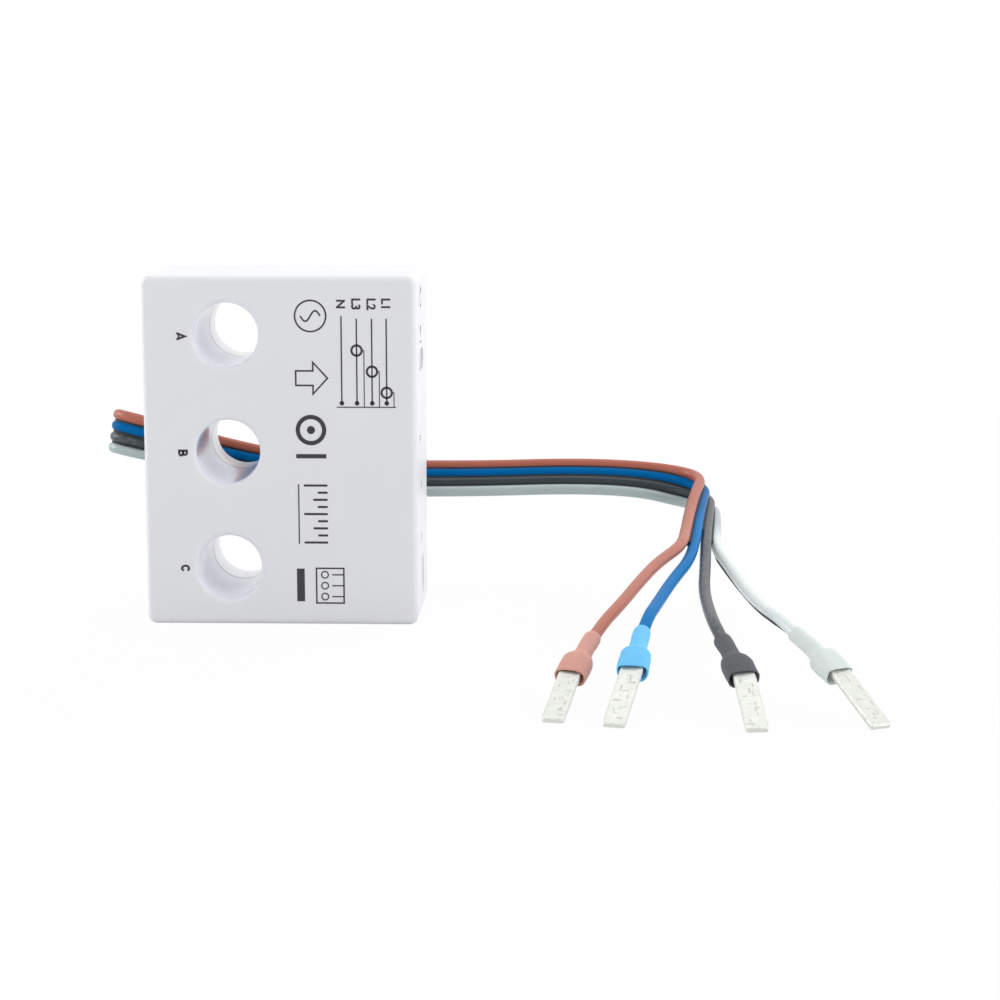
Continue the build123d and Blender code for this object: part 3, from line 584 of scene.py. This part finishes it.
def piece(name, data, finish, body=METER):
    """A mesh or curve as a piece that rides on a body."""
    obj = placed(name, data)
    obj.data.materials.append(FINISHES[finish])
    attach(obj, body)
    return obj


def mesh_from(name, points, faces, angle=35):
    """A mesh, smooth but for edges sharper than the angle."""
    mesh = bpy.data.meshes.new(name)
    mesh.from_pydata([tuple(p) for p in points], [], faces)
    work = bmesh.new()
    work.from_mesh(mesh)
    bmesh.ops.recalc_face_normals(work, faces=work.faces)
    work.to_mesh(mesh)
    work.free()
    mesh.shade_smooth()
    mesh.set_sharp_from_angle(angle=math.radians(angle))
    return mesh


def loft(name, rings, angle=35):
    """A closed skin over rings of equal count, with a cap on each end."""
    count = len(rings[0])
    points = [p for ring in rings for p in ring]
    faces = []
    for r in range(len(rings) - 1):
        for i in range(count):
            j = (i + 1) % count
            base, above = r * count, (r + 1) * count
            faces.append((base + i, base + j, above + j, above + i))
    faces.append(tuple(range(count)))
    last = (len(rings) - 1) * count
    faces.append(tuple(last + i for i in reversed(range(count))))
    return mesh_from(name, points, faces, angle)


def step_at(line, i):
    """The line's direction at one of its points."""
    return (line[min(i + 1, len(line) - 1)] - line[max(i - 1, 0)]).normalized()


def blade_frame(mouth, along):
    """A point, and the ways along, across and up from it."""
    across = Vector((0, 0, 1)).cross(along).normalized()
    return Vector(mouth), along, across, along.cross(across)


def wire_points(name):
    """The route of one wire, in metres, as part.py works it out."""
    side = (MIDDLE_WIRE - WIRES.index(name)) * WIRE_PITCH
    points = [Vector(middle) + Vector(across).normalized() * side for middle, across in RIBBON]
    points += [Vector(p) for p in LEADS[name]]
    mouth, axis = Vector(ENDS[name][0]), Vector(ENDS[name][1]).normalized()
    points.append(mouth - axis * LEAD_IN)
    points.append(mouth - axis * BARREL_ROOT)
    return [p * MM for p in points]


def wire_curve(name, thick):
    """One smooth line through the route, round and thick unless thick is 0."""
    curve = bpy.data.curves.new("lead_" + name, "CURVE")
    curve.dimensions = "3D"
    curve.resolution_u = LINE_STEPS
    curve.bevel_depth = thick / 2
    curve.bevel_resolution = ROUND_STEPS
    curve.use_fill_caps = thick > 0
    spline = curve.splines.new("NURBS")
    points = wire_points(name)
    spline.points.add(len(points) - 1)
    for point, at in zip(spline.points, points):
        point.co = (*at, 1)
    spline.order_u = 3
    spline.use_endpoint_u = True
    return curve


def centre_line(name):
    """Points along the wire's own smooth line."""
    obj = bpy.data.objects.new("line", wire_curve(name, 0))
    mesh = bpy.data.meshes.new_from_object(obj)
    points = [v.co.copy() for v in mesh.vertices]
    bpy.data.meshes.remove(mesh)
    bpy.data.objects.remove(obj)
    return points


def squared(angle, power):
    """A point on a circle that is pressed towards a square as the power falls below 1."""
    a, b = math.cos(angle), math.sin(angle)
    return math.copysign(abs(a) ** power, a), math.copysign(abs(b) ** power, b)


def shrink_sleeve(name, seed):
    """A shrunk sleeve: tight and wrinkled on the wire, flared, with an open oval mouth."""
    mouth, along, across, up = blade_frame(ENDS[name][0], Vector(ENDS[name][1]).normalized())
    rings = []
    for place, wide, over, under in SLEEVE_RINGS:
        flat = min(1.0, max(0.0, (place - SQUARE_FROM) / SQUARE_OVER))
        ring = []
        for i in range(SLEEVE_STEPS):
            angle = 2 * math.pi * i / SLEEVE_STEPS
            a, b = squared(angle, 1 - SQUARE_SHARE * flat)
            way = across * a * wide + up * b * (over if b > 0 else under)
            spot = mouth + along * place + way
            lump = noise.noise(spot * LUMP_SCALE + Vector((seed, 0, 0)))
            lump *= LUMP_HIGH - LUMP_FALL * flat
            crease = noise.noise(Vector((place * CREASE_SCALE, math.cos(angle), seed)))
            edge = EDGE_HIGH * math.sin(angle * 2 + seed) if place > EDGE_FROM else 0.0
            spot += way * (lump + crease * CREASE_HIGH) + along * edge
            ring.append(spot * MM)
        rings.append(ring)
    obj = piece("shrink_sleeve_" + name, loft("shrink_sleeve_" + name, rings, 60),
                "sleeve_" + name)
    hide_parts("sleeve_" + name)
    return obj


def blade_outline():
    """The blade's section: half-width and half-height with round corners, as (across, up)."""
    half_w, half_t, r = BLADE_WIDE / 2, BLADE_THICK / 2, BLADE_ROUND
    steps = int(BLADE_WIDE / BLADE_STEP)
    top = [(-half_w + r + (BLADE_WIDE - 2 * r) * i / steps, half_t) for i in range(steps + 1)]
    right = [(half_w - r * 0.3, half_t - r * 0.3), (half_w, half_t - r),
             (half_w, 0.0), (half_w, -half_t + r), (half_w - r * 0.3, -half_t + r * 0.3)]
    bottom = [(-a, -b) for a, b in top]
    left = [(-a, -b) for a, b in right]
    return top + right + bottom + left


def stamps(long, seed):
    """Short grooves in a blade: each one's middle, half-length and half-width."""
    chance = random.Random(seed)
    marks = []
    for k in range(STAMPS):
        place = long * (STAMP_START + STAMP_STRETCH * (k + chance.random()) / STAMPS)
        a = chance.uniform(-STAMP_REACH, STAMP_REACH)
        half = chance.uniform(*STAMP_HALF)
        thin = chance.uniform(*STAMP_THIN)
        if chance.random() < STAMP_ALONG:
            half, thin = thin, half
        marks.append((place, a, half, thin))
    return marks


def groove_depth(marks, place, a):
    """How deep the grooves are at one spot, from 0 to 1."""
    deepest = 0.0
    for at, across, half, thin in marks:
        edge = max(abs(place - at) - half, abs(a - across) - thin)
        deepest = max(deepest, min(1.0, 1 - edge / STAMP_EDGE) if edge > 0 else 1.0)
    return deepest


def tinned_prong(name, seed):
    """The flat prong: a stamped top, round corners at the tip, its root in the sleeve."""
    mouth, tip = Vector(ENDS[name][0]), Vector(ENDS[name][2])
    mouth, along, across, up = blade_frame(mouth, (tip - mouth).normalized())
    long = (tip - mouth).length
    outline = blade_outline()
    marks = stamps(long, seed)
    steps = int((long + BLADE_TUCK) / BLADE_STEP)
    rings = []
    depths = []
    for k in range(steps + 1):
        place = -BLADE_TUCK + (long + BLADE_TUCK) * k / steps
        left = long - place
        narrow = 1.0 if left > TIP_LONG else 1.0 - TIP_NARROW * (1 - left / TIP_LONG) ** 2
        narrow -= ROOT_NARROW * max(0.0, -place / BLADE_TUCK)
        thin = 1.0 if left > TIP_BEVEL else 1 - TIP_THIN + TIP_THIN * left / TIP_BEVEL
        sway = noise.noise(Vector((seed, place * SWAY_SCALE, 0))) * SWAY
        rise = BLADE_LIFT * max(0.0, 1 - max(place, 0.0) / long)
        ring = []
        for a, b in outline:
            dent = groove_depth(marks, place, a) if b == BLADE_THICK / 2 else 0.0
            wave = noise.noise(Vector((a * TIN_SCALE[0] + seed, place * TIN_SCALE[1], 0)))
            point = mouth + along * place + up * rise
            point += across * (a * narrow + sway)
            point += up * (b * thin - dent * STAMP_DEEP + (wave * TIN_WAVE if b > 0 else 0.0))
            ring.append(point * MM)
            depths.append(dent)
        rings.append(ring)
    mesh = loft("tinned_prong_" + name, rings, 40)
    obj = piece("tinned_prong_" + name, mesh, "tinned_metal")
    # The second finish is the darker tin for faces deep in a groove: painted shade.
    mesh.materials.append(FINISHES["stamped_metal"])
    for face in mesh.polygons:
        deep = sum(depths[v] for v in face.vertices) / len(face.vertices)
        face.material_index = 1 if deep > GROOVE_SHADE_FROM else 0
    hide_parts("prong_" + name)
    return obj


def webs(lines):
    """The thin plastic that bonds each wire to the next, up to where it is split, near-black as
    painted shade in the creases.
    """
    for k, (upper, lower) in enumerate(zip(WIRES, WIRES[1:])):
        one, other = lines[upper], lines[lower]
        keep = len([p for p in one if p.y > SPLIT_Y[k] * MM or p.x < FRONT_X])
        rings = []
        for i in range(keep):
            near = min(other, key=lambda q: (q - one[i]).length)
            side = (near - one[i]).normalized()
            out = step_at(one, i).cross(side).normalized() * WEB_THICK / 2
            left = min(1.0, (keep - 1 - i) / WEB_RUN_OUT)
            root = side * WIRE_D * WEB_ROOT
            start, end = one[i] + root, near - root
            middle = (start + end) / 2
            start, end = middle + (start - middle) * left, middle + (end - middle) * left
            rings.append([start + out, end + out, end - out, start - out])
        name = "web_" + upper + "_" + lower
        piece(name, loft(name, rings, 20), "web_dark")


def torn_edge(line):
    """The strip of the last web that stays on the grey wire past its split."""
    line = [p for p in line if TORN_TO * MM < p.y < TORN_FROM * MM and p.x > FRONT_X]
    rings = []
    for i, at in enumerate(line):
        step = step_at(line, i)
        side = step.cross(Vector((0, 0, 1))).normalized()
        out = (side - Vector((0, 0, TORN_LEAN))).normalized()
        share = i / (len(line) - 1)
        full = min(1.0, TORN_TAPER * share, TORN_TAPER * (1 - share))
        full *= 1 - TORN_WAVE + TORN_WAVE * math.sin(TORN_WAVES * share)
        wide = out * TORN_WIDE * full
        thick = step.cross(out) * TORN_HALF * full
        root = at + out * WIRE_D * TORN_ROOT
        rings.append([root - thick, root + wide - thick, root + wide + thick, root + thick])
    # The strip wears the webs' near-black painted-shade finish.
    piece("torn_edge", loft("torn_edge", rings, 20), "web_dark")


def make_leads():
    """The four wires, each with its sleeve and its prong, and the webs between them."""
    lines = {name: centre_line(name) for name in WIRES}
    webs(lines)
    torn_edge(lines["grey"])
    for seed, name in enumerate(WIRES):
        obj = piece("lead_" + name, wire_curve(name, WIRE_D), "wire_" + name)
        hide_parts("wire_" + name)
        ends = [shrink_sleeve(name, 3.7 * seed + 1.0), tinned_prong(name, 5.3 * seed + 2.0)]


class Ink:
    """Flat printed shapes on one face of the housing, in millimetres on that face."""

    def __init__(self, name, on_face):
        self.name = name
        self.on_face = on_face
        self.points = []
        self.faces = []

    def shape(self, outline):
        """One filled outline."""
        start = len(self.points)
        self.points += [self.on_face(a, b) for a, b in outline]
        self.faces.append(tuple(range(start, len(self.points))))

    def bar(self, a, b, wide, tall):
        """A filled rectangle, its middle at (a, b)."""
        a0, b0 = a - wide / 2, b - tall / 2
        self.shape([(a0, b0), (a0 + wide, b0), (a0 + wide, b0 + tall), (a0, b0 + tall)])

    def path(self, points, thick, closed=False):
        """A line of even thickness with mitred corners."""
        points = [Vector(p) for p in points]
        ends = len(points)
        sides = []
        for i, point in enumerate(points):
            before = points[i - 1] if i or closed else None
            after = points[(i + 1) % ends] if i < ends - 1 or closed else None
            ways = [w.normalized() for w in ((point - before) if before else None,
                                             (after - point) if after else None) if w]
            way = sum(ways, Vector((0, 0))).normalized()
            out = Vector((-way.y, way.x)) * thick / 2 / max(0.4, way.dot(ways[0]))
            sides.append((point + out, point - out))
        for i in range(ends if closed else ends - 1):
            one, other = sides[i], sides[(i + 1) % ends]
            self.shape([one[0], one[1], other[1], other[0]])

    def ring(self, a, b, radius, thick, start=0, turn=360, steps=40, squash=1.0):
        """A ring or an arc, in degrees from start."""
        arc = [(a + radius * math.cos(math.radians(start + turn * i / steps)),
                b + radius * squash * math.sin(math.radians(start + turn * i / steps)))
               for i in range(steps + (turn < 360))]
        self.path(arc, thick, closed=turn == 360)

    def disc(self, a, b, radius, steps=24):
        """A filled circle."""
        self.shape([(a + radius * math.cos(2 * math.pi * i / steps),
                     b + radius * math.sin(2 * math.pi * i / steps)) for i in range(steps)])

    def letters(self, text, a, b, tall, weight):
        """Letters that read downwards, their middle at (a, b)."""
        curve = bpy.data.curves.new("letters", "FONT")
        curve.body = text
        curve.size = tall / CAP_SHARE
        curve.offset = weight
        curve.align_x = "CENTER"
        obj = bpy.data.objects.new("letters", curve)
        mesh = bpy.data.meshes.new_from_object(obj)
        start = len(self.points)
        for v in mesh.vertices:
            self.points.append(self.on_face(a - tall / 2 + v.co.y, b - v.co.x))
        for face in mesh.polygons:
            self.faces.append(tuple(start + i for i in face.vertices))
        bpy.data.meshes.remove(mesh)
        bpy.data.curves.remove(curve)

    def finish(self):
        """All the shapes as one piece."""
        mesh = mesh_from(self.name, self.points, self.faces, 180)
        return piece(self.name, mesh, "print_ink")


def near_face(a, b):
    """A point on the near face, a along X and b along Z."""
    return Vector((a * MM, Y_NEAR - INK_THICK, b * MM))


def right_side(a, b):
    """A point on the right side, a along Y and b along Z."""
    return Vector((X_RIGHT + INK_THICK, a * MM, b * MM))


def print_bore_letters():
    """A, B and C beside the three bores, read downwards."""
    ink = Ink("print_bore_letters", near_face)
    tall, wide, pen = LETTER_TALL, LETTER_TALL * LETTER_WIDE, LETTER_TALL * LETTER_PEN
    foot = LETTER_X - tall / 2
    a_z, b_z, c_z = [z / MM + LETTER_Z for z in BORE_Z]
    ink.path([(foot, a_z + wide / 2), (foot + tall, a_z), (foot, a_z - wide / 2)], pen)
    ink.bar(foot + tall * 0.27, a_z, pen * 0.9, wide / 2)

    spine, reach = b_z + wide * 0.4, tall * 0.22
    ink.bar(LETTER_X, spine, 4 * reach + pen, pen)
    for side, deep in ((1, wide * 0.66), (-1, wide * 0.76)):
        middle = LETTER_X + side * reach
        arc = [math.radians(turn) for turn in range(0, 181, 15)]
        bowl = [(middle + reach * math.cos(t), spine - deep + reach - reach * math.sin(t))
                for t in arc]
        ink.path([(middle + reach, spine)] + bowl + [(middle - reach, spine)], pen)

    ink.ring(LETTER_X, c_z, tall * 0.41, pen, -60, 300, 30, 0.76)
    return ink.finish()


def print_symbols():
    """The column of plain marks: wave, arrow, target, scale, bar and terminal block."""
    ink = Ink("print_symbols", near_face)
    x = COLUMN_X
    ink.ring(x, WAVE_Z, 2.35, PEN)
    wave = [(x + 1.5 * t / 12, WAVE_Z + 0.8 * math.sin(math.pi * t / 12))
            for t in range(-12, 13)]
    ink.path(wave, PEN)
    ink.path([(x + a, ARROW_Z + b) for a, b in ARROW], PEN, closed=True)

    ink.ring(TARGET_X, TARGET_Z, 2.0, BOLD)
    ink.disc(TARGET_X, TARGET_Z, 0.62)
    ink.bar(TARGET_X, TARGET_BAR_Z, 4.6, BOLD)

    for i in range(SCALE_TICKS):
        long = TICK_LONG[i % len(TICK_LONG)]
        ink.bar(x + 2.3 - long / 2, SCALE_TOP - TICK_STEP * i, long, TICK_PEN)
    ink.path([(x - 2.1, SCALE_TOP + 0.2), (x - 2.1, SCALE_TOP - 9.0)], THIN_PEN)

    left, low = TERMINAL_LOW
    right, high = TERMINAL_HIGH
    ink.bar(left - 2.4, 6.2, 1.2, 5.1)
    ink.path([(left, low), (right, low), (right, high), (left, high)], 0.24, closed=True)
    for i in range(3):
        z = low + 1.0 + TERMINAL_STEP * i
        ink.ring(left + 1.3, z, 0.52, THIN_PEN, steps=20)
        ink.path([(left + 2.4, z), (right, z)], THIN_PEN)
    return ink.finish()


def print_wiring():
    """A small connection diagram: three phases through their rings, and the neutral."""
    ink = Ink("print_wiring", near_face)
    foot = DIAGRAM_FOOT
    base = foot - 0.6
    for i, (x, label) in enumerate(DIAGRAM):
        ink.letters(label, x, LABEL_Z, LABEL_TALL, LABEL_WEIGHT)
        if label == "N":
            ink.path([(x, 47.4), (x, foot)], DIAGRAM_PEN)
        else:
            ring_z = RING_TOP - RING_STEP * i
            ink.path([(x, 47.0), (x, foot)], DIAGRAM_PEN)
            ink.ring(x, ring_z, RING_R, 0.34, steps=24)
            ink.path([(x + RING_R, ring_z), (x + 1.1, ring_z), (x + 1.1, base)], 0.15)
        ink.disc(x, foot, 0.36, 16)
    ink.path([(DIAGRAM[0][0] - 0.8, base), (DIAGRAM[-1][0] + 1.4, base)], 0.17)
    return ink.finish()


def print_side_marks():
    """Marks on the right side: a turning arrow over the button, and waves over the lights."""
    ink = Ink("print_side_marks", right_side)
    y = SIDE_Y
    ink.ring(y, 49.3, 1.2, 0.36, 60, 290, 30)
    ink.shape([(y, 51.4), (y + 1.4, 50.6), (y, 49.8)])
    ink.shape([(y - 1.1, 45.1), (y + 0.9, 45.1), (y - 0.1, 43.3)])
    ink.bar(y - 0.1, 42.6, 2.4, 0.3)
    for radius in (0.5, 1.1, 1.7):
        ink.ring(*SIDE_WAVES, radius, 0.24, 50, 80, 12)
    return ink.finish()


def make_camera():
    """The camera where the fit puts it."""
    data = bpy.data.cameras.new("camera")
    data.lens = LENS
    data.sensor_width = SENSOR
    data.clip_start = CLIP_START
    camera = placed("camera", data)
    turn, fall = math.radians(AZIMUTH), math.radians(ELEVATION)
    ahead = Vector((-math.sin(turn) * math.cos(fall), math.cos(turn) * math.cos(fall),
                    -math.sin(fall)))
    facing = ahead.to_track_quat("-Z", "Y").to_matrix().to_4x4()
    roll = Matrix.Rotation(math.radians(ROLL), 4, "Z")
    camera.matrix_world = Matrix.Translation(CAMERA_AT) @ facing @ roll
    bpy.context.scene.camera = camera


def softbox(name, at, size, power):
    """A square lamp that the camera doesn't see."""
    data = bpy.data.lights.new(name, "AREA")
    data.shape = "SQUARE"
    data.size = size
    data.energy = power
    lamp = placed(name, data)
    lamp.location = at
    lamp.visible_camera = False
    lamp.visible_glossy = at[1] < NO_GLOSS_FROM
    aim = Vector(LAMP_AIM) - Vector(at)
    lamp.rotation_euler = aim.to_track_quat("-Z", "Y").to_euler()


def seen_straight(f, gloss=1.0):
    """1 for what the camera or clear plastic sees, gloss for a gloss, 0 for light on a surface."""
    rays = f.add("ShaderNodeLightPath").socket.node.outputs
    seen = [Value(f, rays[n]) for n in ("Is Camera Ray", "Is Glossy Ray", "Is Transmission Ray")]
    return seen[0].either(seen[1] * gloss).either(seen[2])


def make_floor():
    """A floor that shows white, and keeps a faint shadow near the meter."""
    s = FLOOR_HALF
    floor = bpy.data.meshes.new("floor")
    floor.from_pydata([(-s, -s, 0), (s, -s, 0), (s, s, 0), (-s, s, 0)], [], [(0, 1, 2, 3)])
    placed("floor", floor)
    f = Finish("floor_white")
    away = f.add("ShaderNodeVectorMath", {"operation": "LENGTH"}, {0: f.where()}, out=1)
    fade = f.ramp(away / FLOOR_FADE, (0.4, FLOOR_GLOW), (1.0, 1.0))
    matt = f.add("ShaderNodeBsdfDiffuse", None, {"Color": FLOOR_TONE})
    glow = f.add("ShaderNodeEmission", None, {"Color": WHITE, "Strength": 1.0})
    both = f.add("ShaderNodeMixShader", None, {0: seen_straight(f) * fade, 1: matt, 2: glow})
    f.add("ShaderNodeOutputMaterial", None, {"Surface": both})
    floor.materials.append(f.material)


def make_world():
    """A world that shows white and gives a softer light."""
    world = bpy.data.worlds.new("studio")
    world.use_nodes = True
    bpy.context.scene.world = world
    w = Finish("studio", world.node_tree)
    w.place = w.add("ShaderNodeTexCoord")
    _, y, _ = w.parts()
    behind = w.ramp(y * 0.5 + 0.5, (0.25, ROOM_LIGHT), (0.6, 1.0))
    light = w.add("ShaderNodeBackground", None, {"Color": WORLD_TINT, "Strength": WORLD_LIGHT})
    white = w.add("ShaderNodeBackground", None, {"Color": WHITE, "Strength": 1.0})
    mixed = w.add("ShaderNodeMixShader", None, {0: seen_straight(w, behind), 1: light, 2: white})
    w.add("ShaderNodeOutputWorld", None, {"Surface": mixed})


make_camera()
make_floor()
make_world()
for lamp_name, lamp_values in SOFTBOXES.items():
    softbox(lamp_name, *lamp_values)
dress_nodes()
make_leads()
print_bore_letters()
print_symbols()
print_wiring()
print_side_marks()

bpy.context.scene.view_settings.view_transform = "Standard"
